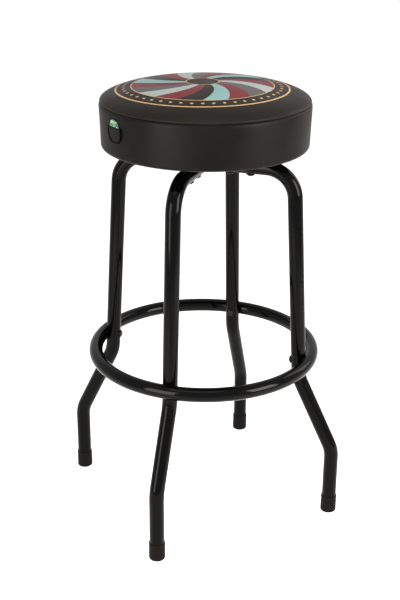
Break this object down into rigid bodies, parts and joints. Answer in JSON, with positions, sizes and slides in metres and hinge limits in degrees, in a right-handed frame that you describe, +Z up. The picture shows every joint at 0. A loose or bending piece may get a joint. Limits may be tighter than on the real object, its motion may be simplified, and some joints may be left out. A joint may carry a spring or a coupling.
{
  "type": "swivel bar stool",
  "caption": "Round padded swivel bar stool with a tall vinyl side band and pouch, on splayed bent black tube legs with an outer foot ring and rubber foot caps.",
  "frame": {"origin": "on the floor, on the axis that the seat turns about", "axes": "+Z up; the legs stand on the diagonals of X and Y"},
  "size_m": [0.4072, 0.4072, 0.762],
  "materials": {
    "black_enamel": "gloss",
    "black_oxide_steel": "satin",
    "black_plastic": "satin",
    "black_rubber": "matte",
    "black_vinyl": "satin",
    "printed_vinyl": "satin",
    "black_cambric": "matte",
    "foam": "matte",
    "plywood": "matte",
    "zinc_steel": "satin",
    "bearing_steel": "polished",
    "nylon": "satin",
    "green_celluloid": "gloss"
  },
  "bodies": {
    "base": {"leg_front_right": "black_enamel", "foot_cap_front_right": "black_rubber", "leg_rear_right": "black_enamel", "foot_cap_rear_right": "black_rubber", "leg_rear_left": "black_enamel", "foot_cap_rear_left": "black_rubber", "leg_front_left": "black_enamel", "foot_cap_front_left": "black_rubber", "foot_ring": "black_enamel", "foot_ring_bolts": "black_oxide_steel", "foot_ring_saddle_washers": "black_plastic", "foot_ring_rivet_nuts": "zinc_steel", "arm_bolts": "black_oxide_steel", "arm_saddle_washers": "black_plastic", "arm_nuts": "zinc_steel", "swivel_lower_plate": "black_enamel", "swivel_rivet": "zinc_steel"},
    "bearing": {"swivel_balls": "bearing_steel", "swivel_ball_cage": "nylon"},
    "seat": {"swivel_upper_plate": "black_enamel", "seat_screws": "zinc_steel", "seat_tee_nuts": "zinc_steel", "seat_board": "plywood", "seat_foam": "foam", "seat_top_cover": "printed_vinyl", "seat_side_band": "black_vinyl", "seat_dust_cover": "black_cambric", "seat_staples": "zinc_steel", "side_pouch": "black_vinyl"},
    "plectrum": {"plectrum": "green_celluloid"}
  },
  "joints": [
    {"name": "seat_swivel", "type": "hinge", "parent": "base", "child": "seat", "pos_m": [0, 0, 0.66], "axis": [0, 0, 1], "continuous": true},
    {"name": "bearing_roll", "type": "hinge", "parent": "base", "child": "bearing", "pos_m": [0, 0, 0.65], "axis": [0, 0, 1], "continuous": true},
    {"name": "plectrum_pull", "type": "slide", "parent": "seat", "child": "plectrum", "axis": [-0.0301, -0.0049, 0.9995], "range_m": [0, 0.0255]}
  ],
  "couplings": [
    {"joint": "bearing_roll", "follows": "seat_swivel", "ratio": 0.5}
  ]
}
